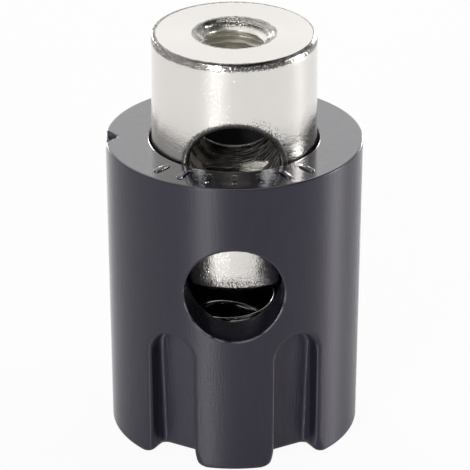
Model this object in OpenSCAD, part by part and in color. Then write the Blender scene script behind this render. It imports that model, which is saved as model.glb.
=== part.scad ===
// Spring push terminal: a moulded push cap slides on a turned, plated contact core.
// The closed end of the cap stands at z = 0 and the tapped end of the core points up.
// The wire holes run along Y, with the front at -Y. Drawn at rest, all sizes in millimetres.

/* [Push cap] */
// Diameter of the cap at its open ring
cap_ring_d = 14.5; // [13:0.1:18]
// Diameter of the cap at its closed end, smaller by the mould draft
cap_end_d = 14.0; // [13:0.1:18]
// Height of the cap from its closed end to the ring face
cap_h = 17.6; // [16:0.1:22]
// Thickness of the closed end
cap_floor = 2.0; // [1.5:0.1:3]
// Rounding of the outer edges of the cap
cap_edge_r = 0.3; // [0.1:0.05:0.6]
// Chamfer at the mouth of the cap's bore
ring_mouth_chamfer = 0.15; // [0.05:0.05:0.3]
// Diameter of the post on the closed end that centres the spring
spring_post_d = 3.4; // [2:0.1:3.6]
// Height of the spring post
spring_post_h = 0.8; // [0.4:0.1:1.2]
// Depth of the V-shaped nick in the ring's rim at -X, left where the mould is filled
nick_depth = 0.35; // [0.1:0.05:0.6]
// Radial reach of the nick inwards from the rim
nick_reach = 0.7; // [0.3:0.05:1]
// Width of the nick at the rim
nick_w = 1.8; // [1:0.1:2.4]

/* [Grip flutes] */
// Width of one grip flute
flute_w = 2.7; // [1.5:0.1:3.2]
// Angle of the flutes from the wire-hole axis
flute_angle = 30.5; // [26:0.5:40]
// Height of the round top of the flutes above the closed end
flute_h = 8.1; // [5:0.1:9]
// Distance of the flute floor from the axis at the round top
flute_floor_top = 5.95; // [5.7:0.05:6.6]
// Distance of the flute floor from the axis at the closed end
flute_floor_end = 5.45; // [5.2:0.05:6.4]

/* [Contact core] */
// Diameter of the contact core
core_d = 9.3; // [8:0.1:10]
// Length of the contact core
core_l = 13.8; // [12:0.1:15]
// Radial width of the chamfer at the tapped end
core_top_chamfer_w = 0.18; // [0.05:0.01:0.4]
// Height of the chamfer at the tapped end
core_top_chamfer_h = 0.45; // [0.1:0.05:0.8]
// Chamfer at the spring end
core_end_chamfer = 0.2; // [0.05:0.05:0.4]
// Tap drill of the mounting thread, drilled on down to the spring pocket
tap_drill_d = 3.3; // [2.4:0.1:3.4]
// Diameter of the countersunk mouth of the thread
tap_mouth_d = 4.5; // [3.6:0.1:5.5]
// Depth of the spring pocket in the lower end
spring_pocket_l = 2.6; // [1.5:0.1:3]

/* [Wire holes] */
// Diameter of the hole through the cap
cap_hole_d = 5.6; // [4:0.1:6]
// Diameter of the cap's hole in the narrow land next to the bore
cap_hole_throat_d = 5.2; // [3.8:0.1:5.8]
// Width of that land, measured at the bore
cap_hole_land = 0.25; // [0.1:0.05:0.5]
// Diameter of the hole through the core
core_hole_d = 5.5; // [4:0.1:5.8]
// Depth of the hole centres below the ring face and below the core's end face
hole_drop = 6.6; // [5.5:0.1:7]
// Length of the straight wall of the core's hole, between its two flared mouths
core_hole_wall = 7.9; // [6.5:0.1:8]
// Widening of the core's hole at each flared mouth, on the radius
core_hole_flare = 0.22; // [0.1:0.01:0.4]

/* [Motion] */
// Push travel of the cap, which brings both holes into line
travel = 6.3; // [5.5:0.1:7]
// Gap between the core and the cap's bore, on the radius
slide_clear = 0.15; // [0.1:0.05:0.3]

/* [Clamp spring] */
// Wire diameter of the clamp spring
spring_wire_d = 0.5; // [0.3:0.05:0.6]
// Mean diameter of the coils
spring_mean_d = 4.4; // [4.2:0.1:4.8]
// Number of open coils between the two closed end coils
spring_open_turns = 3.4; // [2.5:0.1:4.5]
// Direction in which the lower end of the wire starts
spring_start = -28; // [-180:1:180]
// Gap round the spring in its pocket, on the radius
spring_pocket_clear = 0.15; // [0.1:0.05:0.3]

/* [Guide pin] */
// Diameter of the guide pin that holds the cap on the core
pin_d = 1.2; // [1:0.1:1.6]
// Direction of the guide pin, from +X towards +Y
pin_angle = 25; // [20:1:30]
// Depth of the guide slot in the core
slot_depth = 1.0; // [0.8:0.05:1.1]
// Wall left in the core below the guide slot
slot_web = 0.9; // [0.7:0.1:1.5]
// Gap between the pin and the sides of the slot
slot_clear = 0.06; // [0.03:0.01:0.1]
// Gap between the pin's tip and the slot floor
pin_tip_clear = 0.15; // [0.1:0.05:0.3]
// Depth of the pin's outer end below the cap's surface
pin_recess = 0.15; // [0:0.05:0.3]

/* [Hidden] */
$fn = 96;

// The shared levels, from the closed end upwards
core_top_z = cap_h + travel;
core_low_z = core_top_z - core_l;
core_hole_z = core_top_z - hole_drop;
cap_hole_z = cap_h - hole_drop;
pocket_top_z = core_low_z + spring_pocket_l;

// Radii that follow from the fits
core_r = core_d / 2;
cap_bore_r = core_r + slide_clear;
pocket_r = (spring_mean_d + spring_wire_d) / 2 + spring_pocket_clear;
tap_r = tap_drill_d / 2;
tap_mouth_depth = (tap_mouth_d - tap_drill_d) / 2;

// The guide slot: the pin stands at its lower end at rest and runs up by the travel
slot_r = pin_d / 2 + slot_clear;
slot_floor_r = core_r - slot_depth;
pin_z = core_low_z + slot_web + slot_r;
slot_overrun = 0.1;
pin_press = 0.01;

// Spacing of the closed end coils, and the small gap of the spring to its seats
end_turns = 1;
end_pitch = spring_wire_d * 1.02;
seat_gap = 0.02;
wire_sides = 8;
turn_steps = 18;

// Outer radius of the drafted cap at a height
function cap_r(z) = cap_end_d / 2 + (cap_ring_d - cap_end_d) / 2 * z / cap_h;

// Points of a rounded corner about a centre, from one angle to another
function round_corner(centre, r, from, to, steps = 5) =
    [for (i = [0:steps]) let (a = from + (to - from) * i / steps) centre + r * [cos(a), sin(a)]];

// Half section of the cap, radius across and height up, hollowed from the ring down
function cap_section() = concat(
    [[0, 0]],
    round_corner([cap_r(cap_edge_r) - cap_edge_r, cap_edge_r], cap_edge_r, -90, 0),
    round_corner([cap_r(cap_h - cap_edge_r) - cap_edge_r, cap_h - cap_edge_r], cap_edge_r, 0, 90),
    [[cap_bore_r + ring_mouth_chamfer, cap_h],
     [cap_bore_r, cap_h - ring_mouth_chamfer],
     [cap_bore_r, cap_floor],
     [spring_post_d / 2, cap_floor],
     [spring_post_d / 2, cap_floor + spring_post_h],
     [0, cap_floor + spring_post_h]]);

// Half section of the core: countersunk thread, drilled through to the spring pocket
function core_section() = [
    [tap_r, pocket_top_z],
    [pocket_r, pocket_top_z],
    [pocket_r, core_low_z],
    [core_r - core_end_chamfer, core_low_z],
    [core_r, core_low_z + core_end_chamfer],
    [core_r, core_top_z - core_top_chamfer_h],
    [core_r - core_top_chamfer_w, core_top_z],
    [tap_mouth_d / 2, core_top_z],
    [tap_r, core_top_z - tap_mouth_depth]];

// A hole right through along Y
module wire_hole(d, z) {
    translate([0, 0, z])
        rotate([90, 0, 0])
            cylinder(d = d, h = 2 * cap_ring_d, center = true);
}

// The cap's hole: full width from outside up to the narrow land at the bore, on both sides
module cap_hole() {
    wire_hole(cap_hole_throat_d, cap_hole_z);
    for (side = [0, 180])
        rotate([0, 0, side])
            translate([0, -cap_bore_r - cap_hole_land, cap_hole_z])
                rotate([90, 0, 0])
                    cylinder(d = cap_hole_d, h = cap_ring_d);
}

// The flared mouths of the core's hole, which lead the wire in
module hole_flares() {
    slope = core_hole_flare / (core_r - core_hole_wall / 2);
    for (side = [0, 180])
        rotate([0, 0, side])
            translate([0, -core_hole_wall / 2, core_hole_z])
                rotate([90, 0, 0])
                    cylinder(d1 = core_hole_d, d2 = core_hole_d + 2 * slope * core_r, h = core_r);
}

// The nick in the ring's rim, a V that opens outwards
module ring_nick() {
    inner_x = nick_reach - cap_ring_d / 2;
    outer_x = -nick_reach - cap_ring_d / 2;
    translate([0, 0, cap_h - nick_depth])
        linear_extrude(2 * nick_depth)
            polygon([[inner_x, 0], [outer_x, nick_w], [outer_x, -nick_w]]);
}

// One flute: a flat-floored groove with a full-round top, open at the closed end.
// The floor leans inwards to the closed end, so that the mould can draw that way.
module grip_flute(angle) {
    lean = atan((flute_floor_top - flute_floor_end) / flute_h);
    reach = flute_h / cos(lean) - flute_w / 2;
    rotate([0, 0, angle])
        translate([0, -flute_floor_end, 0])
            rotate([90 + lean, 0, 0])
                linear_extrude(cap_ring_d / 2)
                    union() {
                        translate([0, reach]) circle(d = flute_w);
                        translate([-flute_w / 2, -flute_w]) square([flute_w, reach + flute_w]);
                    }
}

// A round bar along the guide pin's direction, between two distances from the axis
module radial_bar(r, z, from, to) {
    rotate([0, 0, pin_angle])
        translate([from, 0, z])
            rotate([0, 90, 0])
                cylinder(r = r, h = to - from);
}

// The guide slot with round ends, cut in from the core's surface
module guide_slot() {
    slot_top_z = pin_z + travel + slot_overrun;
    radial_bar(slot_r, pin_z, slot_floor_r, core_d);
    radial_bar(slot_r, slot_top_z, slot_floor_r, core_d);
    rotate([0, 0, pin_angle])
        translate([slot_floor_r, -slot_r, pin_z])
            cube([core_d - slot_floor_r, 2 * slot_r, slot_top_z - pin_z]);
}

// Black moulded cap with grip flutes, a wire hole through both walls and the pin's hole
module push_cap() {
    color([0.11, 0.11, 0.13])
        difference() {
            rotate_extrude() polygon(cap_section());
            cap_hole();
            for (side = [0, 180], lean_way = [-1, 1])
                grip_flute(side + lean_way * flute_angle);
            radial_bar(pin_d / 2 + pin_press, pin_z, slot_floor_r, cap_ring_d);
            ring_nick();
        }
}

// Nickel-plated turned core with its thread hole, wire hole, guide slot and spring pocket
module contact_core() {
    color([0.80, 0.79, 0.76])
        difference() {
            rotate_extrude() polygon(core_section());
            wire_hole(core_hole_d, core_hole_z);
            hole_flares();
            guide_slot();
        }
}

// Height of the spring wire's centre after a number of turns: closed, open, closed
spring_low_z = cap_floor + seat_gap + spring_wire_d / 2;
spring_high_z = pocket_top_z - seat_gap - spring_wire_d / 2;
spring_turns = spring_open_turns + 2 * end_turns;
open_pitch = (spring_high_z - spring_low_z - 2 * end_turns * end_pitch) / spring_open_turns;
function wire_z(turn) = spring_low_z
    + end_pitch * min(turn, end_turns)
    + open_pitch * max(0, min(turn - end_turns, spring_open_turns))
    + end_pitch * max(0, turn - end_turns - spring_open_turns);

// One ring of points round the wire, square to the coil's slope
function wire_ring(turn) =
    let (a = spring_start + 360 * turn,
         step = 0.5 / turn_steps,
         rise = wire_z(min(turn + step, spring_turns)) - wire_z(max(turn - step, 0)),
         run = PI * spring_mean_d * (min(turn + step, spring_turns) - max(turn - step, 0)),
         slope = atan(rise / run),
         out = [cos(a), sin(a), 0],
         up = [sin(a) * sin(slope), -cos(a) * sin(slope), cos(slope)],
         middle = spring_mean_d / 2 * out + [0, 0, wire_z(turn)])
    [for (k = [0:wire_sides - 1])
        let (b = 360 * k / wire_sides)
        middle + spring_wire_d / 2 * (cos(b) * out + sin(b) * up)];

// Steel compression spring: one wire swept along the coils
module clamp_spring() {
    rings = round(spring_turns * turn_steps);
    points = [for (i = [0:rings]) each wire_ring(spring_turns * i / rings)];
    sides = [for (i = [0:rings - 1], k = [0:wire_sides - 1])
        let (n = (k + 1) % wire_sides, low = i * wire_sides, high = low + wire_sides)
        [low + k, low + n, high + n, high + k]];
    start_face = [for (k = [wire_sides - 1:-1:0]) k];
    end_face = [for (k = [0:wire_sides - 1]) rings * wire_sides + k];
    color([0.55, 0.55, 0.56])
        polyhedron(points, concat(sides, [start_face, end_face]));
}

// Steel pin pressed in the cap's wall, with its tip in the core's slot
module guide_pin() {
    color([0.6, 0.6, 0.62])
        radial_bar(pin_d / 2, pin_z, slot_floor_r + pin_tip_clear, cap_r(pin_z) - pin_recess);
}

contact_core();
push_cap();
clamp_spring();
guide_pin();
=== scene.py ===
# %% [markdown]
# A spring push terminal: a black moulded cap slides on a nickel-plated, turned metal core.
# The CAD model fixes the sizes and the motion. This lesson gives the terminal its looks: each
# piece is worked out again with rounded edges, a real screw thread and its own surface finish.
# The lengths below are in millimetres, as on a drawing, and turn into metres in the meshes.

# %% Load the CAD model
import itertools
import math

import bpy
import numpy as np
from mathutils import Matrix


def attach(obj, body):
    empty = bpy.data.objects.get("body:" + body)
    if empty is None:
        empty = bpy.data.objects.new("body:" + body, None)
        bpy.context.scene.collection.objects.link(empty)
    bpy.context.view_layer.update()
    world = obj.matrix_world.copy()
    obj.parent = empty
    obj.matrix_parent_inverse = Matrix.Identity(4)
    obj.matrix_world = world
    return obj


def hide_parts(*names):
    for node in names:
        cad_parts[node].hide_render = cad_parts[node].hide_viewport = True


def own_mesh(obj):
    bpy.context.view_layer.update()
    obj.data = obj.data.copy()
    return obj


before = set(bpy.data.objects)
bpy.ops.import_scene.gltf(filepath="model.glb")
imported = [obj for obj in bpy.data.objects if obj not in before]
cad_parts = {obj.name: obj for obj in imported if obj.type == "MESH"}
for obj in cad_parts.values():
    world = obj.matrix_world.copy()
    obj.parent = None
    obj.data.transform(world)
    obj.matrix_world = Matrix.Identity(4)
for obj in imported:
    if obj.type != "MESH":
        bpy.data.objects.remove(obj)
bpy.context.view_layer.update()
MM = 0.001
FULL_TURN = 2 * math.pi

# %% [markdown]
# The camera comes first, because every later choice is judged through it. The terminal is seen
# from the front and about 25 degrees above. The cap's upper and lower edges look almost equally
# wide, so the lens is a long one that stands well back.

# %% Camera
VIEW_ELEVATION = math.radians(25.26)
VIEW_DISTANCE = 253.75
VIEW_HEIGHT = 11.445
FOCAL_PIXELS, IMAGE_SIDE, SENSOR = 4465.0, 470, 36.0
AXIS_LEFT_OF_MIDDLE = 0.7

lens = bpy.data.cameras.new("table_camera")
lens.sensor_width = SENSOR
lens.lens = FOCAL_PIXELS * SENSOR / IMAGE_SIDE
lens.shift_x = AXIS_LEFT_OF_MIDDLE / IMAGE_SIDE
camera = bpy.data.objects.new("table_camera", lens)
camera.location = (0, -VIEW_DISTANCE * math.cos(VIEW_ELEVATION) * MM,
                   (VIEW_HEIGHT + VIEW_DISTANCE * math.sin(VIEW_ELEVATION)) * MM)
camera.rotation_euler = (math.pi / 2 - VIEW_ELEVATION, 0, 0)
bpy.context.scene.collection.objects.link(camera)
bpy.context.scene.camera = camera
print("lens of", round(lens.lens), "mm")

# %% [markdown]
# A mesh is a list of points and a list of faces. Whole numpy arrays go into it at once, which is
# far quicker than a loop over points. Each piece keeps its place in its points, and its object
# stays at the origin, so a pattern on object coordinates sits where the drawing says.

# %% From arrays to a mesh
def add_piece(name, points, quads, triangles=(), normals=None):
    """Turns points in millimetres and faces of 4 and 3 corners into a smooth-shaded object.
    Normals, where given, are one direction for each point."""
    quads = np.asarray(quads, int).reshape(-1, 4)
    triangles = np.asarray(triangles, int).reshape(-1, 3)
    mesh = bpy.data.meshes.new(name)
    mesh.from_pydata((points * MM).tolist(), [], quads.tolist() + triangles.tolist())
    mesh.polygons.foreach_set("use_smooth", np.ones(len(mesh.polygons), bool))
    mesh.validate()
    if normals is not None:
        mesh.normals_split_custom_set_from_vertices(normals.tolist())
    mesh.update()
    piece = bpy.data.objects.new(name, mesh)
    bpy.context.scene.collection.objects.link(piece)
    print(name, len(points), "points,", 2 * len(quads) + len(triangles), "triangles")
    return piece


def unit(vectors):
    """Each vector divided by its length."""
    return vectors / np.linalg.norm(vectors, axis=-1, keepdims=True)


def circle(sides):
    """Evenly spaced angles of one full turn."""
    return np.linspace(0, FULL_TURN, sides, endpoint=False)


def grid_quads(rows, columns):
    """Faces of a grid of points, row after row: each joins a point to the next in its row and to
    the same two in the next row. The last column joins the first."""
    r, c = np.meshgrid(np.arange(rows - 1), np.arange(columns), indexing="ij")
    n = (c + 1) % columns
    corners = [r * columns + c, r * columns + n, (r + 1) * columns + n, (r + 1) * columns + c]
    return np.stack(corners, -1).reshape(-1, 4)


def fan(hub, ring):
    """Triangles that join one point, the hub, to each two neighbours in a ring of points."""
    return np.stack([np.full(len(ring), hub), ring, np.roll(ring, -1)], -1)


def add_rod(name, rings, hubs):
    """A closed rod from rows of rings of points, with a fan round a hub at each of its ends."""
    rows, sides = rings.shape[:2]
    first = np.arange(sides)
    last = first + (rows - 1) * sides
    ends = np.concatenate([fan(rows * sides, first)[:, ::-1], fan(rows * sides + 1, last)])
    points = np.concatenate([rings.reshape(-1, 3), hubs])
    return add_piece(name, points, grid_quads(rows, sides)[:, ::-1], ends)


print("faces between two rings of three points:", grid_quads(2, 3).tolist())

# %% [markdown]
# The cap and the core are crossed by holes, and each hole runs into another hole. No single grid
# of two parameters can wrap round that, and a boolean with a bevel often leaves creases. So both
# are described by a distance: a function of x, y and z that is negative in the material and zero
# on its skin. Two such solids join with a rounded edge by one short formula, and this rolled edge
# is what catches the light on a real moulding.

# %% Joining solids with rolled edges
def both(a, b, radius):
    """The part that two solids share: the larger of their distances. Within the radius of the
    edge where they meet, the distance is taken from the axis of a roll instead."""
    inner = np.hypot(np.maximum(a + radius, 0), np.maximum(b + radius, 0))
    return np.minimum(np.maximum(a, b), -radius) + inner


def cut(solid, tool, radius):
    """The solid without the tool: what it shares with the outside of the tool."""
    return both(solid, -tool, radius)


def bar_along(angle, x, y):
    """The plan turned so that the first value runs outwards along the angle, the second across."""
    c, s = math.cos(angle), math.sin(angle)
    return c * x + s * y, c * y - s * x


print("a roll of 1 mm takes", round(float(both(0.0, 0.0, 1.0)), 3), "mm off a square edge")

# %% [markdown]
# To draw the skin, space round the axis is divided into small boxes by angle, radius and height.
# A box with material at some corners and none at others holds a piece of the skin, and gets one
# point, at the mean of the places where the skin crosses the box's edges. This is known as
# surface nets. Turned surfaces lie along the rows of the grid, so their edges are true circles.

# %% Points of a skin
def ladder(*spans):
    """Grid levels from spans of start, end and step. The nearest step that divides the span
    evenly is taken."""
    parts = [np.linspace(start, end, max(1, round((end - start) / step)), endpoint=False)
             for start, end, step in spans]
    return np.concatenate(parts + [[spans[-1][1]]])


def find_crossings(value):
    """For the edges along angle, radius and height: whether the distance changes its sign on the
    edge, and the share of the edge at which it is zero."""
    starts = [value, value[:, :-1], value[:, :, :-1]]
    ends = [np.roll(value, -1, 0), value[:, 1:], value[:, :, 1:]]
    crossed = [(s < 0) != (e < 0) for s, e in zip(starts, ends)]
    share = [s / np.where(c, s - e, 1) for s, e, c in zip(starts, ends, crossed)]
    return crossed, share


def mean_crossings(crossed, share):
    """The boxes that the skin passes, and the mean of its crossings in each as shares of the box.
    A box has four edges each way, at the low or high side of the two other ways."""
    n, m, k = crossed[0].shape
    total, count = np.zeros((3, n, m - 1, k - 1)), np.zeros((n, m - 1, k - 1))
    for axis, low, high in itertools.product(range(3), (0, 1), (0, 1)):
        shift = [low, high]
        shift.insert(axis, 0)
        window = (slice(None), slice(shift[1], shift[1] + m - 1), slice(shift[2], shift[2] + k - 1))
        hit = np.roll(crossed[axis], -shift[0], 0)[window]
        place = np.roll(share[axis], -shift[0], 0)[window]
        count += hit
        for way in range(3):
            total[way] += hit * (place if way == axis else shift[way])
    box = np.nonzero(count)
    return box, total[(slice(None),) + box] / count[box]


levels = ladder((0, 1, 0.3), (1, 2, 0.5))
print("a ladder of two spans:", levels.round(2).tolist())

# %% [markdown]
# The points of the four boxes round an edge that crosses the skin make one face. Each point then
# slides along the slope of the distance until it lies exactly on the skin. A round bar of radius
# 1 is a simple distance to try this on.

# %% Faces of a skin
def faces_round_edges(crossed, number):
    """For each crossed edge inside the grid, the points of the four boxes round it. Number holds
    the point of each box."""
    faces = []
    for axis in range(3):
        u, v = [way for way in range(3) if way != axis]
        edge = np.array(np.nonzero(crossed[axis]))
        size = crossed[axis].shape
        inside = [(edge[w] > 0) & (edge[w] < size[w] - 1) for w in (u, v) if w != 0]
        edge = edge[:, np.all(inside, 0)]
        ring = []
        for back_u, back_v in ((1, 1), (0, 1), (0, 0), (1, 0)):
            at = edge.copy()
            at[u] -= back_u
            at[v] -= back_v
            ring.append(number[at[0] % len(number), at[1], at[2]])
        faces.append(np.stack(ring, -1))
    return np.concatenate(faces)


def slope(distance, points, reach=1e-3):
    """Gradient of a distance by central differences, for many points at once."""
    rises = [distance(*(points + step).T) - distance(*(points - step).T)
             for step in np.eye(3) * reach]
    return np.stack(rises, -1) / (2 * reach)


def settle(distance, points, rounds=6, limit=0.06, least_slope=0.05, least_move=1e-9):
    """Slides points down the slope by distance over slope, limited in length, for a few rounds."""
    for _ in range(rounds):
        g = slope(distance, points)
        steepness = np.maximum((g ** 2).sum(1), least_slope)
        move = (distance(*points.T) / steepness)[:, None] * g
        length = np.linalg.norm(move, axis=1, keepdims=True)
        points = points - move * np.minimum(1, limit / np.maximum(length, least_move))
    return points


def round_bar(x, y, z):
    """Distance from the axis less the radius of 1."""
    return np.hypot(x, y) - 1


settled = settle(round_bar, np.array([[1.1, 0.0, 0.0]]))
print("a point at 1.1 mm from the axis settles at", settled[0, 0].round(3), "mm")

# %% [markdown]
# Now the steps come together. On the axis, all boxes of one height share a point, and some faces
# there shrink to triangles. The slope at each point is its normal, so even a coarse grid shades
# like a smooth surface, and it tells which way round the corners of a face have to run.

# %% From a distance to a piece
def turn_outwards(faces, points, normals):
    """Reverses the faces whose own direction, the cross product of their diagonals, points
    against the normals at their corners."""
    a, b, c, d = (points[faces[:, corner]] for corner in range(4))
    inward = (np.cross(c - a, d - b) * normals[faces].sum(1)).sum(1) < 0
    faces[inward] = faces[inward][:, ::-1]
    return faces


def skin(name, distance, angles, radii, heights):
    """A piece whose surface is where the distance is zero. The levels of the grid are given."""
    a, r, h = np.meshgrid(angles, radii, heights, indexing="ij")
    crossed, share = find_crossings(distance(r * np.cos(a), r * np.sin(a), h))
    box, part = mean_crossings(crossed, share)
    turn = np.diff(np.append(angles, angles[0] + FULL_TURN))
    angle = angles[box[0]] + turn[box[0]] * part[0]
    radius = radii[box[1]] + np.diff(radii)[box[1]] * part[1]
    height = heights[box[2]] + np.diff(heights)[box[2]] * part[2]
    number = np.full((len(angles), len(radii) - 1, len(heights) - 1), -1)
    number[box] = np.arange(len(angle))
    pole = number[:, 0].max(0)
    number[:, 0] = np.where(number[:, 0] >= 0, pole, -1)
    radius[pole[pole >= 0]] = 0
    used, faces = np.unique(faces_round_edges(crossed, number), return_inverse=True)
    points = np.stack([radius * np.cos(angle), radius * np.sin(angle), height], -1)[used]
    points = settle(distance, points)
    normals = unit(slope(distance, points))
    faces = turn_outwards(faces.reshape(-1, 4), points, normals)
    same = faces == np.roll(faces, -1, 1)
    merged = same.sum(1) == 1
    triangles = faces[merged][~same[merged]].reshape(-1, 3)
    return add_piece(name, points, faces[~same.any(1)], triangles, normals)


# %% [markdown]
# The push cap is one moulding. Its wall leans in a little towards the closed end, as it must to
# leave the mould, and the four grip flutes lean in further. Their rims are rolled off by about
# 0.3 mm for the fingers, while the rims of the wire hole stay crisp. A nick in the ring shows
# where the plastic was fed in. The grid is finest where edges are rolled.

# %% Push cap
CAP_H, CAP_RING_R, CAP_END_R, CAP_FLOOR, BORE_R = 17.6, 7.25, 7.0, 2.0, 4.8
POST_R, POST_H = 1.7, 0.8
HOLE_DROP, CAP_HOLE_R, CAP_HOLE_INNER_R = 6.6, 2.8, 2.66
FLUTE_W, FLUTE_ANGLE, FLUTE_H, FLUTE_TOP, FLUTE_END = 2.7, math.radians(30.5), 8.1, 5.95, 5.45
NICK_REACH, NICK_W, NICK_DEPTH = 0.7, 1.8, 0.35
PIN_ANGLE, PIN_R, PIN_Z, PIN_TIP, PIN_HEAD, PIN_GAP = math.radians(25), 0.6, 11.66, 3.8, 7.016, 0.01
RING_ROLL, END_ROLL, POST_ROLL, CAP_HOLE_ROLL, CRISP_ROLL = 0.1, 0.34, 0.15, 0.08, 0.05
FLUTE_FLOOR_ROLL, FLUTE_RIM_ROLL, RUN_OUT_ROLL, RUN_OUT_H = 0.17, 0.28, 0.6, 1.4
CAP_HOLE_Z = CAP_H - HOLE_DROP


def cap_distance(x, y, z):
    """A leaning wall between two flat ends, less the bore, the wire hole, the flutes, the pin's
    hole and the nick. A flute is a strip with a round top that lies above a leaning floor, and
    its rims roll off further where it runs out at the closed end."""
    out = np.hypot(x, y)
    wall = out - (CAP_END_R + (CAP_RING_R - CAP_END_R) * z / CAP_H)
    solid = both(both(wall, z - CAP_H, RING_ROLL), -z, END_ROLL)
    solid = cut(solid, np.maximum(out - BORE_R, CAP_FLOOR - z), RING_ROLL)
    post = both(out - POST_R, z - CAP_FLOOR - POST_H, POST_ROLL)
    solid = np.minimum(solid, np.maximum(post, CAP_FLOOR / 2 - z))
    taper = np.clip((np.abs(y) - BORE_R) / (CAP_END_R - BORE_R), 0, 1)
    hole_r = CAP_HOLE_INNER_R + (CAP_HOLE_R - CAP_HOLE_INNER_R) * taper
    solid = cut(solid, np.hypot(x, z - CAP_HOLE_Z) - hole_r, CAP_HOLE_ROLL)
    depth, across = bar_along(math.pi / 2 - FLUTE_ANGLE, np.abs(x), np.abs(y))
    strip = np.hypot(across, np.maximum(z - FLUTE_H + FLUTE_W / 2, 0)) - FLUTE_W / 2
    floor = FLUTE_END + (FLUTE_TOP - FLUTE_END) * z / FLUTE_H - depth
    rim_roll = FLUTE_RIM_ROLL + RUN_OUT_ROLL * np.clip(1 - z / RUN_OUT_H, 0, 1) ** 2
    solid = cut(solid, both(strip, floor, FLUTE_FLOOR_ROLL), rim_roll)
    depth, across = bar_along(PIN_ANGLE, x, y)
    pin_hole = np.hypot(across, z - PIN_Z) - PIN_R - PIN_GAP
    solid = cut(solid, np.maximum(pin_hole, PIN_TIP - depth), CRISP_ROLL)
    opening = NICK_W / 2 / NICK_REACH
    flank = (np.abs(y) + opening * (x + CAP_RING_R - NICK_REACH)) / math.hypot(1, opening)
    return cut(solid, np.maximum(flank, CAP_H - NICK_DEPTH - z), CRISP_ROLL)


from_front = ladder((-48, 48, 1.05), (48, 132, 2.2), (132, 228, 1.05), (228, 312, 2.2))[:-1]
cap_radii = ladder((0.3, 1.5, 0.4), (1.5, 1.95, 0.09), (1.95, 4.6, 0.4), (4.6, 5.15, 0.09),
                   (5.15, 6.85, 0.15), (6.85, 7.35, 0.07))
cap_heights = ladder((-0.07, 0.5, 0.08), (0.5, 7.9, 0.17), (7.9, 14.2, 0.13), (14.2, 17.0, 0.22),
                     (17.0, 17.75, 0.07))
push_cap = skin("moulded_cap", cap_distance, np.radians(from_front - 90), cap_radii, cap_heights)
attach(push_cap, "cap")
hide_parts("push_cap")

# %% [markdown]
# The contact core is turned from brass bar, drilled across for the wire, drilled and tapped along
# its axis, and then nickel plated. The end's edge was broken with a file in two passes, wider on
# the right. The thread is part of the same distance: the bore's radius grows by a V-shaped groove
# that climbs by one pitch in each turn.

# %% Bar and thread of the core
CORE_R, CORE_TOP, CORE_LOW = 4.65, 23.9, 10.1
FIRST_PASS, SECOND_PASS, LOW_CHAMFER = (0.165, 0.455), (0.235, 0.29), (0.2, 0.2)
FILE_UNEVEN, FILE_WAY, FIRST_SHARE = 0.16, (0.75, -0.66), 0.7
TAP_R, PITCH, THREAD_DEPTH, MOUTH_R, MOUTH_LEAN = 1.65, 0.7, 0.36, 2.27, 1.55
GROOVE_FLOOR, FLANK, THREAD_START, THREAD_FADE, THREAD_SLOPE = 1.15, 0.33, 19.45, 0.5, 0.7
SHARP_ROLL, FACED_ROLL, BROKEN_ROLL = 0.03, 0.04, 0.06


def bevel(reach, drop, size):
    """Distance from a leaning face that takes off size[0] across and size[1] along an edge. Reach
    is measured outwards and drop upwards from that edge."""
    return (size[1] * (reach + size[0]) + size[0] * drop) / math.hypot(*size)


def filed_bar(x, y, z):
    """A bar with two leaning faces at its upper edge, whose depth changes along the file's way,
    and a chamfer at its lower edge."""
    side, top, low = np.hypot(x, y) - CORE_R, z - CORE_TOP, CORE_LOW - z
    uneven = FILE_UNEVEN * (0.5 - (FILE_WAY[0] * x + FILE_WAY[1] * y) / (2 * CORE_R))
    filed = np.maximum(bevel(side, top, FIRST_PASS) - FIRST_SHARE * uneven,
                       bevel(side, top, SECOND_PASS) - uneven)
    upper = both(both(side, filed, SHARP_ROLL), top, FACED_ROLL)
    return both(upper, both(bevel(side, low, LOW_CHAMFER), low, BROKEN_ROLL), BROKEN_ROLL)


def tapped_bore(x, y, z):
    """A bore whose radius is the tap drill plus a groove that depends on height over pitch less
    angle over a full turn. Its mouth is a flat cone. The distance is scaled by the steepness of
    the groove's flanks."""
    phase = np.mod(z / PITCH - np.arctan2(y, x) / FULL_TURN, 1)
    groove = np.clip(GROOVE_FLOOR - np.abs(phase - 0.5) / FLANK, 0, 1)
    groove = groove * np.clip((z - THREAD_START) / THREAD_FADE, 0, 1)
    radius = np.maximum(TAP_R + THREAD_DEPTH * groove, MOUTH_R + MOUTH_LEAN * (z - CORE_TOP))
    return THREAD_SLOPE * (np.hypot(x, y) - radius)


print("thread of", round((CORE_TOP - THREAD_START) / PITCH, 1), "turns")

# %% [markdown]
# Plating rounds the front of the wire hole and builds up as a fine bead on the sharp edge behind,
# and a tool left a small flat where the drilled holes cross, whose colour is painted brighter as a
# highlight. The flat is the back of a wedge-shaped cut, whose roof leans so that the flat is seen
# from above the ring.

# %% Contact core
CORE_HOLE_R, CORE_HOLE_Z, FRONT_ROLL, BACK_ROLL, BEAD_R = 2.52, 17.45, 0.42, 0.05, 0.085
ROLL_FROM, ROLL_REACH, FRONT_SIDE, BEAD_SIDE = 3.4, 0.8, 0.5, 1.0
POCKET_R, POCKET_TOP = 2.6, 12.7
SLOT_FLOOR, SLOT_R, SLOT_TOP = 3.65, 0.66, 18.06
FLAT_AT, FLAT_FACES = (0.9, 2.1, 15.05), (-0.21, -0.887, 0.41)
FLAT_LEFT, FLAT_RIGHT, FLAT_LOW, FLAT_ROOF, FLAT_FRONT = 0.6, 1.95, 14.75, 14.56, 0.3
LEFT_LEAN, ROOF_LEAN = (-0.61, 0.79), (0.427, 0.904)


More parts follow.
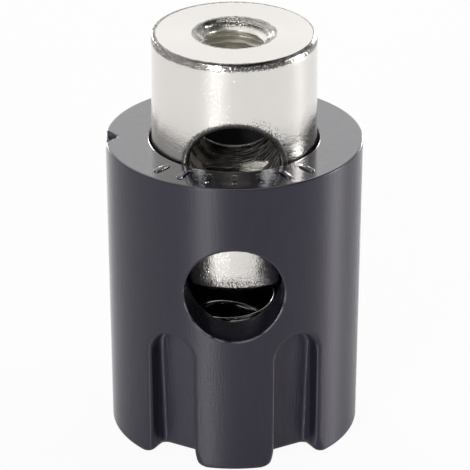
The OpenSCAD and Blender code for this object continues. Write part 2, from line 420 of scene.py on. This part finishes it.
def crossing_cut(x, y, z):
    """A wedge between six planes: the flat behind, a leaning left end and roof, and a plain right
    end, floor and front. The largest of the planes' distances is the wedge's."""
    flat = -sum(n * (p - c) for n, p, c in zip(FLAT_FACES, (x, y, z), FLAT_AT))
    left = LEFT_LEAN[0] * (x - FLAT_LEFT) + LEFT_LEAN[1] * (z - FLAT_AT[2])
    roof = ROOF_LEAN[0] * y + ROOF_LEAN[1] * z - FLAT_ROOF
    return np.maximum.reduce([flat, left, roof, x - FLAT_RIGHT, FLAT_LOW - z, FLAT_FRONT - y])


def core_distance(x, y, z):
    """The filed bar less the tapped bore, the spring pocket, the wire hole, the crossing's cut and
    the pin's slot. The wire hole's roll is wide at its front mouth only, and a thin ring lies on
    its rear edge."""
    out = np.hypot(x, y)
    solid = cut(filed_bar(x, y, z), tapped_bore(x, y, z), SHARP_ROLL)
    solid = cut(solid, np.maximum(out - POCKET_R, z - POCKET_TOP), BROKEN_ROLL)
    hole = np.hypot(x, z - CORE_HOLE_Z) - CORE_HOLE_R
    front_mouth = np.clip((out - ROLL_FROM) / ROLL_REACH, 0, 1) * np.clip(FRONT_SIDE - y, 0, 1)
    solid = cut(solid, hole, BACK_ROLL + (FRONT_ROLL - BACK_ROLL) * front_mouth)
    bead = np.hypot(hole, out - CORE_R + BEAD_R) - BEAD_R
    solid = np.minimum(solid, np.maximum(bead, BEAD_SIDE - y))
    solid = cut(solid, crossing_cut(x, y, z), SHARP_ROLL)
    depth, across = bar_along(PIN_ANGLE, x, y)
    along = z - np.clip(z, PIN_Z, SLOT_TOP)
    slot = np.maximum(np.hypot(across, along) - SLOT_R, SLOT_FLOOR - depth)
    return cut(solid, slot, CRISP_ROLL)


core_angles = np.radians(np.arange(0, 360, 1.6))
core_radii = ladder((1.5, 2.75, 0.07), (2.75, 4.3, 0.14), (4.3, 4.75, 0.055))
core_heights = ladder((10.0, 10.45, 0.07), (10.45, 14.5, 0.22), (14.5, 16.0, 0.08),
                      (16.0, 19.5, 0.15), (19.5, 20.5, 0.09), (20.5, 24.0, 0.065))
contact_core = skin("turned_core", core_distance, core_angles, core_radii, core_heights)
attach(contact_core, "core")
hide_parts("contact_core")

# %% [markdown]
# The clamp spring is one steel wire wound on a mandrel: a circle carried along a helix. The end
# coils lie close, the coils between are open, and in the bore the loaded spring leans a little.

# %% Clamp spring
WIRE_R, COIL_R, LOW_SEAT, HIGH_SEAT = 0.25, 2.2, 2.27, 12.43
OPEN_TURNS, END_PITCH, FIRST_ANGLE = 3.4, 0.51, math.radians(43.5)
ALL_TURNS = OPEN_TURNS + 2
BEND_SHARPNESS, TIP_SHARE = 14, 0.75
LEAN_SHIFT, LEAN_X, LEAN_Y = 0.2, -0.05, 0.0375
WIRE_SIDES, RINGS_A_TURN = 20, 72


def bend(turns):
    """A line that bends from level to rising at 0: the logarithm of one plus an exponential."""
    return np.logaddexp(0, BEND_SHARPNESS * turns) / BEND_SHARPNESS


def wire_path(turns):
    """Points of the wire's centre: a circle whose height climbs slowly in the first and last turn
    and evenly between. The lean tips and shifts the middle coils, and fades at both ends."""
    open_pitch = (HIGH_SEAT - LOW_SEAT - 2 * END_PITCH) / OPEN_TURNS
    opened = bend(turns - 1) - bend(turns - ALL_TURNS + 1)
    height = LOW_SEAT + END_PITCH * turns + (open_pitch - END_PITCH) * opened
    angle = FIRST_ANGLE + FULL_TURN * turns
    x, y = COIL_R * np.cos(angle), COIL_R * np.sin(angle)
    lean = np.sin(np.pi * turns / ALL_TURNS) ** 2
    return np.stack([x + LEAN_SHIFT * lean, y, height + lean * (LEAN_X * x + LEAN_Y * y)], -1)


turns = np.linspace(0, ALL_TURNS, round(ALL_TURNS * RINGS_A_TURN))
centre = wire_path(turns)
ahead = unit(np.gradient(centre, axis=0))
outward = centre * (1, 1, 0) / COIL_R
outward = unit(outward - ahead * (outward * ahead).sum(1, keepdims=True))
upward = np.cross(ahead, outward)
around = circle(WIRE_SIDES)[None, :, None]
section = np.cos(around) * outward[:, None] + np.sin(around) * upward[:, None]
wire_radius = np.full((len(turns), 1, 1), WIRE_R)
wire_radius[[0, -1]] = TIP_SHARE * WIRE_R
clamp_spring = add_rod("wound_spring", centre[:, None] + wire_radius * section, centre[[0, -1]])
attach(clamp_spring, "core")
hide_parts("clamp_spring")
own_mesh(clamp_spring)

# %% [markdown]
# The guide pin is a ground steel pin with chamfered ends, pressed in the cap's wall. A profile of
# axial place and radius is turned round the pin's own axis. Both ends have the same profile, with
# extra points that keep the shading of the flat and round parts apart.

# %% Guide pin
PIN_SIDES, PIN_CHAMFER = 40, 0.12
END_BREAK, CHAMFER_BREAK, WALL_BREAK, MIDDLE_R = 0.03, 0.04, 0.02, 0.02


def turned_pin(places, radii):
    """Each point of the profile makes a ring: place along the pin, radius times the cosine across
    and radius times the sine up."""
    across = radii[:, None] * np.cos(circle(PIN_SIDES))
    up = radii[:, None] * np.sin(circle(PIN_SIDES))
    along = places[:, None] + 0 * across
    c, s = math.cos(PIN_ANGLE), math.sin(PIN_ANGLE)
    return np.stack([along * c - across * s, along * s + across * c, up + PIN_Z], -1)


from_end = np.array([0, 0, END_BREAK, PIN_CHAMFER, PIN_CHAMFER + CHAMFER_BREAK])
end_radii = np.array([MIDDLE_R, PIN_R - PIN_CHAMFER - CHAMFER_BREAK, PIN_R - PIN_CHAMFER,
                      PIN_R - WALL_BREAK, PIN_R])
pin_rings = turned_pin(np.concatenate([PIN_TIP + from_end, PIN_HEAD - from_end[::-1]]),
                       np.concatenate([end_radii, end_radii[::-1]]))
pin_hubs = turned_pin(np.array([PIN_TIP, PIN_HEAD]), np.zeros(2))[:, 0]
guide_pin = add_rod("ground_pin", pin_rings, pin_hubs)
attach(guide_pin, "cap")
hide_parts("guide_pin")

# %% [markdown]
# Seven plain index ticks stand on the front of the ring face: rounded bars that point to the axis,
# each a box-like superellipsoid, sunk a little into the ring.

# %% Index ticks
TICK_ANGLES = np.radians([-42, -28, -14, 0, 14, 28, 42])
TICK_R, TICK_L, TICK_W, TICK_H, TICK_SINK = 6.0, 1.1, 0.34, 0.24, 0.02
TICK_ROWS, TICK_COLUMNS, SQUARENESS = 17, 40, 0.35


def boxed(value):
    """A sine or cosine raised to a small power with its sign kept, which squares up a circle."""
    return np.sign(value) * np.abs(value) ** SQUARENESS


def tick(angle):
    """A superellipsoid: signed powers of sines and cosines of latitude and longitude, scaled to the
    bar's half sizes and turned to its place on the ring."""
    latitudes = np.linspace(-np.pi / 2, np.pi / 2, TICK_ROWS)
    lat, lon = np.meshgrid(latitudes, circle(TICK_COLUMNS), indexing="ij")
    across = TICK_W / 2 * boxed(np.cos(lat)) * boxed(np.cos(lon))
    along = TICK_R + TICK_L / 2 * boxed(np.cos(lat)) * boxed(np.sin(lon))
    height = CAP_H + TICK_H / 2 * boxed(np.sin(lat)) - TICK_SINK
    c, s = math.cos(angle), math.sin(angle)
    return np.stack([across * c + along * s, across * s - along * c, height], -1).reshape(-1, 3)


tick_points = np.concatenate([tick(angle) for angle in TICK_ANGLES])
tick_faces = np.concatenate([grid_quads(TICK_ROWS, TICK_COLUMNS) + i * TICK_ROWS * TICK_COLUMNS
                             for i in range(len(TICK_ANGLES))])
ring_ticks = add_piece("ring_ticks", tick_points, tick_faces)
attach(ring_ticks, "cap")

# %% [markdown]
# Materials are written as sums. A small class holds one socket of a node tree, and adding or
# multiplying two of them adds the Math node that does it. Every other node comes from one method.

# %% Shader arithmetic
class Wire:
    """One output socket of a node tree, which can be used in a sum."""

    def __init__(self, tree, socket=None):
        self.tree, self.socket = tree, socket

    def node(self, kind, settings=None, inputs=None, out=0):
        """Adds a node: settings are its properties, inputs its sockets' values or links."""
        made = self.tree.nodes.new(kind)
        for name, value in (settings or {}).items():
            setattr(made, name, value)
        for name, value in (inputs or {}).items():
            if isinstance(value, Wire):
                self.tree.links.new(value.socket, made.inputs[name])
            else:
                made.inputs[name].default_value = value
        return Wire(self.tree, made.outputs[out] if len(made.outputs) else None)

    def math(self, operation, a, b=0.0):
        return self.node("ShaderNodeMath", {"operation": operation}, {0: a, 1: b})

    def __add__(self, other):
        return self.math("ADD", self, other)

    def __radd__(self, other):
        return self.math("ADD", other, self)

    def __sub__(self, other):
        return self.math("SUBTRACT", self, other)

    def __rsub__(self, other):
        return self.math("SUBTRACT", other, self)

    def __mul__(self, other):
        return self.math("MULTIPLY", self, other)

    def __rmul__(self, other):
        return self.math("MULTIPLY", other, self)

    def __abs__(self):
        return self.math("ABSOLUTE", self)

    def root(self):
        """The square root."""
        return self.math("SQRT", self)

    def most(self, other):
        """The larger of two values."""
        return self.math("MAXIMUM", self, other)

    def step(self, low, high):
        """Rises smoothly from 0 at low to 1 at high, or falls if low is above high."""
        rising = low < high
        ends = {"From Min": min(low, high), "From Max": max(low, high),
                "To Min": 0.0 if rising else 1.0, "To Max": 1.0 if rising else 0.0}
        return self.node("ShaderNodeMapRange", {"interpolation_type": "SMOOTHSTEP"},
                         {"Value": self, **ends})

    def band(self, start, full, last, end):
        """Rises smoothly from 0 at start to 1 at full, and falls from 1 at last to 0 at end."""
        return self.step(start, full) * self.step(end, last)


def empty_tree(owner):
    """Clears the nodes of a material or world and gives a wire to build new ones from."""
    owner.use_nodes = True
    owner.node_tree.nodes.clear()
    return Wire(owner.node_tree)


print("a wire can:", sorted(name for name in vars(Wire) if name[0] != "_"))

# %% [markdown]
# A few helpers make every finish. They start a material with its places in millimetres, measure
# from the round holes, give noise of a real size, stack fine marks as bumps and end the material.

# %% Parts of a finish
def mix_colour(share, a, b):
    """Colour a where the share is 0 and colour b where it is 1."""
    return share.node("ShaderNodeMix", {"data_type": "RGBA"}, {0: share, 6: a, 7: b}, out=2)


def new_finish(name):
    """An empty material, its object coordinates in millimetres, and their three parts."""
    material = bpy.data.materials.new(name)
    root = empty_tree(material)
    metres = root.node("ShaderNodeTexCoord", out="Object")
    place = root.node("ShaderNodeVectorMath", {"operation": "SCALE"}, {0: metres, "Scale": 1 / MM})
    parts = [root.node("ShaderNodeSeparateXYZ", None, {0: place}, out=i) for i in range(3)]
    return material, place, parts


def round_hole(px, py, pz, hole_z, hole_r):
    """Distance from the terminal's axis, height above a wire hole's axis, and distance outside
    the wall of that hole."""
    above = pz - hole_z
    return (px * px + py * py).root(), above, (px * px + above * above).root() - hole_r


def grain(place, size, stretch=(1, 1, 1), detail=2.0, rough=0.5):
    """Noise from 0 to 1 whose patches are about the given size in millimetres."""
    scaled = place.node("ShaderNodeVectorMath", {"operation": "MULTIPLY"}, {0: place, 1: stretch})
    return place.node("ShaderNodeTexNoise", None,
                      {"Vector": scaled, "Scale": 1 / size, "Detail": detail, "Roughness": rough})


def wear(root, *layers):
    """Chains Bump nodes: each layer is a height from 0 to 1 and its depth in millimetres."""
    normal = None
    for height, depth in layers:
        inputs = {"Height": height, "Distance": depth * MM, "Strength": 1.0}
        if normal:
            inputs["Normal"] = normal
        normal = root.node("ShaderNodeBump", None, inputs)
    return normal


def finish_with(material, root, **sockets):
    """Ends a material with a Principled shader. Names take spaces for their underlines."""
    inputs = {name.replace("_", " "): value for name, value in sockets.items()}
    shader = root.node("ShaderNodeBsdfPrincipled", None, inputs)
    root.node("ShaderNodeOutputMaterial", None, {"Surface": shader})
    print(material.name, "has", len(material.node_tree.nodes), "nodes")
    return material


helpers = (mix_colour, new_finish, round_hole, grain, wear, finish_with)
print("helpers for finishes:", [helper.__name__ for helper in helpers])

# %% [markdown]
# The cap's plastic is a blue-black satin moulding. Its wall is spark-eroded to a fine texture, the
# ring face comes from a polished insert and mirrors the core, and the flute floors keep the
# vertical strokes of the mould maker's stone. A thin painted highlight lightens the lower outer rim
# of the wire hole.

# %% Satin black plastic
BLUE_BLACK, PALER_BLACK = (0.0082, 0.0072, 0.0145, 1), (0.0112, 0.0102, 0.0196, 1)
STONED_FLOOR, RIM_PAINTED_HIGHLIGHT = (0.026, 0.024, 0.037, 1), (0.10, 0.095, 0.11, 1)
PLASTIC_SHEEN = (0.96, 0.915, 1.0, 1)

material, place, (px, py, pz) = new_finish("satin_black_moulding")
radius, above, past_rim = round_hole(px, py, pz, CAP_HOLE_Z, CAP_HOLE_R)
ring_face = pz.step(CAP_H - 0.05, CAP_H - 0.01)
polished = ring_face.most(past_rim.step(0.16, 0.1))
lip = past_rim.band(-0.06, 0.0, 0.1, 0.16) * (1 - ring_face)
rim_highlight_line = past_rim.band(-0.01, 0.02, 0.08, 0.11) * radius.step(6.6, 6.8) * above.step(0.6, -0.4)
deep = math.sin(FLUTE_ANGLE) * abs(px) + math.cos(FLUTE_ANGLE) * abs(py)
flute = deep.step(6.2, 6.05) * radius.band(5.0, 5.2, 6.7, 6.85) * pz.step(8.3, 7.9)

mottle = grain(place, 2.2, detail=3.0)
texture = grain(place, 0.095, rough=0.6)
strokes = grain(place, 0.09, (1, 1, 0.05))
polish = grain(place, 0.3, detail=5.0, rough=0.7)
tone = mix_colour(flute, mix_colour(mottle, BLUE_BLACK, PALER_BLACK), STONED_FLOOR)
# Painted highlight: a thin lighter line along the lower outer rim of the wire hole.
tone = mix_colour(rim_highlight_line * grain(place, 0.7).step(0.36, 0.56), tone, RIM_PAINTED_HIGHLIGHT)
satin = 0.43 + 0.06 * (mottle - 0.5) + 0.2 * (strokes - 0.5)
rough = satin * (1 - polished) + (0.26 - 0.12 * ring_face - 0.15 * lip) * polished
bump = wear(place, (texture * (1 - ring_face), 0.007),
            (strokes * (0.3 * (1 - polished) + 0.7 * flute), 0.015), (grain(place, 1.4), 0.004))
plastic = finish_with(material, place, Base_Color=tone, Roughness=rough, Normal=bump, IOR=1.52,
                      Specular_Tint=PLASTIC_SHEEN, Anisotropic=0.86, Anisotropic_Rotation=0.25,
                      Coat_Weight=ring_face * (0.8 + 0.36 * polish),
                      Coat_Roughness=0.08, Coat_IOR=1.7)
for piece in (push_cap, ring_ticks):
    piece.data.materials.append(plastic)

# %% [markdown]
# Nickel plating is a warm silver metal, and it is not the same everywhere. Inside the drilled holes
# its colour is painted darker as shade, mottled by stains, with a painted glow on the left wall.
# Dark reflections and shade are painted as pit-like specks on the filed edge, the thread mouth and
# the lower end, and the plating is rough where it rounds the front of the wire hole. Each such zone
# is a mask between 0 and 1, in millimetres on the core.

# %% Zones of the plating
material, place, (px, py, pz) = new_finish("nickel_plating")
radius, above, past_edge = round_hole(px, py, pz, CORE_HOLE_Z, CORE_HOLE_R)
bead = radius.step(4.42, 4.47) * py.step(0.0, 0.5)
drilled = past_edge.step(0.12, 0.04) * (1 - bead)
tapped = radius.step(2.15, 1.95) * pz.step(19.4, 19.8)
faced = pz.step(CORE_TOP - 0.02, CORE_TOP - 0.005)
upper_end = pz.step(CORE_TOP - 0.5, CORE_TOP - 0.35)
rim = upper_end * radius.step(4.35, 4.45)
mouth = upper_end * radius.step(2.45, 2.35)
front_mouth = radius.step(3.6, 3.9) * py.step(0.5, -0.5)
rolled = past_edge.band(0.06, 0.12, 0.38, 0.48) * front_mouth
edge = 1.6 * past_edge.step(0.53, 0.33) * front_mouth
specks_right_of_hole = past_edge.step(1.08, 0.18) * px.step(0.5, 2.2) * py.step(0.0, -1.0)
corner = 0.75 * px.step(3.4, 4.4) * pz.step(20.7, 18.8) * py.step(0.5, -1.0)
sides = (px.step(-1.3, -2.2) + px.step(1.0, 2.1)) * pz.step(13.7, 12.9)
foot = pz.step(11.3, 10.3)
# Painted dark reflection and shade: on the filed rim, the thread mouth, round the front of the wire
# hole, right of it, at the front right, on the lower sides and at the lower end the colour is
# darkened in pit-like specks.
shade_speck_zones = 1.3 * rim + mouth + edge.most(specks_right_of_hole).most(corner) * (1 - drilled)
shade_speck_zones = shade_speck_zones.most(sides.most(foot) * (1 - drilled))
# Painted highlight: the flat where the drilled holes cross gets a brighter colour than the plating.
flat = past_edge.step(0.02, 0.06) * py.band(0.2, 0.3, 2.4, 2.6) * pz.step(15.9, 15.7)
print("zones of the plating:", len(material.node_tree.nodes), "nodes")

# %% [markdown]
# The marks are noise of several sizes. Plating levels the turning marks without hiding them, and
# its orange-peel surface breaks the edges of reflections into specks. The end face is faced on the
# lathe, so its fine marks are circles, and the drill scratched the wire hole across its length.

# %% Nickel plating
SILVER, PALE_SILVER = (0.70, 0.675, 0.64, 1), (0.75, 0.725, 0.69, 1)
HOLE_SHADE_DEEP, HOLE_SHADE_PALE = (0.07, 0.065, 0.06, 1), (0.34, 0.31, 0.28, 1)
UPPER_HOLE_SHADE, CEILING_SHADE = (0.04, 0.038, 0.036, 1), (0.012, 0.0115, 0.011, 1)
LEFT_WALL_GLOW, FRESH_SCRATCH = (0.74, 0.68, 0.60, 1), (0.92, 0.90, 0.84, 1)
THREAD_PAINTED_LIGHT, FLAT_PAINTED_HIGHLIGHT, SHADE_SPECK = (0.93, 0.905, 0.82, 1), (1.0, 0.98, 0.9, 1), (0.13, 0.125, 0.12, 1)

peel = grain(place, 0.16)
specks = grain(place, 0.075, detail=1.0).step(0.42, 0.72)
nodules = grain(place, 0.12, rough=0.7).step(0.45, 0.7) * pz.step(13.4, 12.4)
stain = grain(place, 1.1, detail=4.0, rough=0.6)
turning = grain(place, 0.05, (0.02, 0.02, 1.0))
scratches = grain(place, 0.1, (0.08, 1.0, 0.08), detail=3.0).step(0.4, 0.65)
lathe = place.node("ShaderNodeTexWave", {"wave_type": "RINGS", "rings_direction": "Z"},
                   {"Vector": place, "Scale": 3.0, "Distortion": 1.0})
# Painted shade: dark specks of the pit colour in those zones.
shade_specks = (grain(place, 0.06, detail=1.0) + 0.2 * shade_speck_zones).step(0.62, 0.72) * shade_speck_zones.step(0.02, 0.1)
# Painted glow: a lighter patch on the left wall of the wire hole, where a lamp's reflection falls.
left_glow = px.step(-0.8, -1.6) * pz.band(15.2, 15.8, 16.6, 17.3) * stain.step(0.3, 0.6)
scored = scratches.step(0.5, 0.95) * drilled * px.step(-0.9, 1.0) * pz.step(17.4, 16.4)

# Painted shade: inside the drilled hole the colour is far darker than the plating, mottled by stain
# noise, darker again above the hole's axis and nearly black at its ceiling.
hole_shade_tone = mix_colour(stain.step(0.35, 0.65), HOLE_SHADE_DEEP, HOLE_SHADE_PALE)
# Painted light: the thread gets a paler, warmer colour than the plating, which lightens the bore.
tone = mix_colour(tapped, mix_colour(stain, SILVER, PALE_SILVER), THREAD_PAINTED_LIGHT)
for share, colour in ((pz.step(17.2, 18.0), UPPER_HOLE_SHADE), (pz.step(18.4, 19.0), CEILING_SHADE),
                      (left_glow, LEFT_WALL_GLOW), (scored, FRESH_SCRATCH)):
    hole_shade_tone = mix_colour(share, hole_shade_tone, colour)
for share, colour in ((drilled, hole_shade_tone), (flat, FLAT_PAINTED_HIGHLIGHT), (shade_specks, SHADE_SPECK)):
    tone = mix_colour(share, tone, colour)
rough = (0.21 + 0.08 * (stain - 0.5) - 0.09 * drilled - 0.08 * shade_speck_zones + 0.28 * rolled
         + 0.3 * scored + 0.25 * left_glow * drilled - 0.1 * flat + 0.1 * tapped)
bump = wear(place, (peel * (1 - faced), 0.006), (specks * (1 - faced), 0.0038), (nodules, 0.0055),
            (turning * (1 - drilled), 0.0015), (scratches * drilled, 0.02), (scored, 0.035),
            (lathe * faced, 0.001))
nickel = finish_with(material, place, Base_Color=tone, Metallic=1.0, Roughness=rough, Normal=bump,
                     Anisotropic=0.7, Anisotropic_Rotation=0.25)
contact_core.data.materials.append(nickel)

# %% [markdown]
# The spring is drawn wire with a smooth grey skin, and the pin is ground bright. Both are steel,
# so one function makes both, with another tone, roughness and direction of the fine marks.

# %% Spring wire and ground pin
def steel(name, dark, light, roughness, marks):
    """Steel with fine marks: noise stretched along the way that the tool ran."""
    material, place, _ = new_finish(name)
    fine, cloud = grain(place, 0.05, marks), grain(place, 0.6, detail=3.0)
    return finish_with(material, place, Base_Color=mix_colour(cloud, dark, light), Metallic=1.0,
                       Roughness=roughness + 0.12 * (fine - 0.5), Normal=wear(place, (fine, 0.003)))


clamp_spring.data.materials.append(
    steel("drawn_spring_wire", (0.42, 0.42, 0.41, 1), (0.60, 0.59, 0.575, 1), 0.1, (0.2, 0.2, 1)))
guide_pin.data.materials.append(
    steel("ground_pin_steel", (0.50, 0.50, 0.51, 1), (0.62, 0.62, 0.62, 1), 0.22, (1, 1, 1)))

# %% [markdown]
# The terminal stands on a white table in a white tent. For the eye the surroundings are simply
# white. Under the terminal the table is a little darker in mirrors, as a real contact shadow is.

# %% White table
WHITE, PAPER = (1, 1, 1, 1), (0.95, 0.95, 0.95, 1)
TABLE_HALF, SHADOW_OUTER, SHADOW_INNER = 1500, 16, 8
GLOW_SHARE, SHADOW_SHARE = 0.94, 0.45


def ray_is(root, kind):
    """1 for rays of this kind, and 0 for others."""
    return root.node("ShaderNodeLightPath", out="Is " + kind + " Ray")


def seen_directly(root):
    """1 for rays from the camera or from a mirror or glass, 0 for rays that carry light."""
    return ray_is(root, "Camera").most(ray_is(root, "Glossy")).most(ray_is(root, "Transmission"))


table_points = TABLE_HALF * np.array([[-1, -1, 0], [1, -1, 0], [1, 1, 0], [-1, 1, 0]], float)
table = add_piece("white_table", table_points, [[0, 1, 2, 3]])
material = bpy.data.materials.new("white_table")
root = empty_tree(material)
paper = root.node("ShaderNodeBsdfDiffuse", None, {"Color": PAPER})
glow = root.node("ShaderNodeEmission", None, {"Color": WHITE, "Strength": 1.0})
spot = root.node("ShaderNodeTexCoord", out="Object")
from_middle = root.node("ShaderNodeVectorMath", {"operation": "LENGTH"}, {0: spot}, out=1)
near = from_middle.step(SHADOW_OUTER * MM, SHADOW_INNER * MM)
share = GLOW_SHARE * seen_directly(root) - SHADOW_SHARE * near * ray_is(root, "Glossy")
surface = root.node("ShaderNodeMixShader", None, {0: share, 1: paper, 2: glow})
root.node("ShaderNodeOutputMaterial", None, {"Surface": surface})
table.data.materials.append(material)

# %% [markdown]
# A mirror such as the plating also shows the darker room on the side where the tent is open, and
# this gives bright metal its contrast. The room is dark at the right and front, darkest high up,
# and the tent's top and the low horizon stay white. Light itself comes from the tent at one level.

# %% White tent and dark room
RIGHT_WAY, FRONT_WAY = (0.966, -0.259), (0.866, -0.5)
ROOM_DARK, HIGH_DARK, LEFT_DARK, TENT_LIGHT = 0.52, 0.44, 0.72, 0.4

world = bpy.data.worlds.new("white_tent")
root = empty_tree(world)
toward = root.node("ShaderNodeTexCoord", out="Generated")
x, y, z = (root.node("ShaderNodeSeparateXYZ", None, {0: toward}, out=i) for i in range(3))
right = (RIGHT_WAY[0] * x + RIGHT_WAY[1] * y).step(0.0, 0.15)
front = (FRONT_WAY[0] * x + FRONT_WAY[1] * y).step(0.0, 0.12)
high = z.step(0.62, 0.7)
front_right = right.most(front) * z.step(0.08, 0.16) * (ROOM_DARK + HIGH_DARK * high)
left = LEFT_DARK * high * y.step(0.2, 0.0)
room = left.most(front_right) * z.step(0.95, 0.88)
seen = root.node("ShaderNodeBackground", None,
                 {"Color": WHITE, "Strength": 1 - room * ray_is(root, "Glossy")})
light = root.node("ShaderNodeBackground", None, {"Color": WHITE, "Strength": TENT_LIGHT})
tent = root.node("ShaderNodeMixShader", None, {0: seen_directly(root), 1: light, 2: seen})
root.node("ShaderNodeOutputWorld", None, {"Surface": tent})
bpy.context.scene.world = world
print("tent has", len(world.node_tree.nodes), "nodes")

# %% [markdown]
# Low soft boxes draw the bright bands on the cylinders: one left of the camera, one at the right,
# two behind that draw the edges of the black cap, and a wide faint one above them.

# %% Soft boxes
def soft_box(name, azimuth, elevation, distance, width, height, radiance):
    """A rectangular lamp that faces the terminal. Azimuth 0 is the camera's side, and positive
    angles go to the right. Its power is four times radiance times area."""
    a, e = math.radians(azimuth), math.radians(elevation)
    lamp = bpy.data.lights.new(name, "AREA")
    lamp.shape, lamp.size, lamp.size_y = "RECTANGLE", width * MM, height * MM
    lamp.energy = radiance * width * height * MM * MM * 4
    box = bpy.data.objects.new(name, lamp)
    reach = distance * math.cos(e)
    box.location = (reach * math.sin(a) * MM, -reach * math.cos(a) * MM,
                    (VIEW_HEIGHT + distance * math.sin(e)) * MM)
    box.rotation_euler = (math.pi / 2 - e, 0, a)
    bpy.context.scene.collection.objects.link(box)


soft_box("left_box", -24, 9.5, 320, 60, 110, 24.0)
soft_box("right_box", 97, 9.5, 320, 60, 110, 28.0)
soft_box("back_left_box", -150, 4, 320, 120, 66, 23.0)
soft_box("back_right_box", 150, 4, 320, 80, 66, 19.0)
soft_box("back_box", 180, 32, 380, 420, 260, 0.15)
bpy.context.scene.view_settings.view_transform = "Standard"

# %% [markdown]
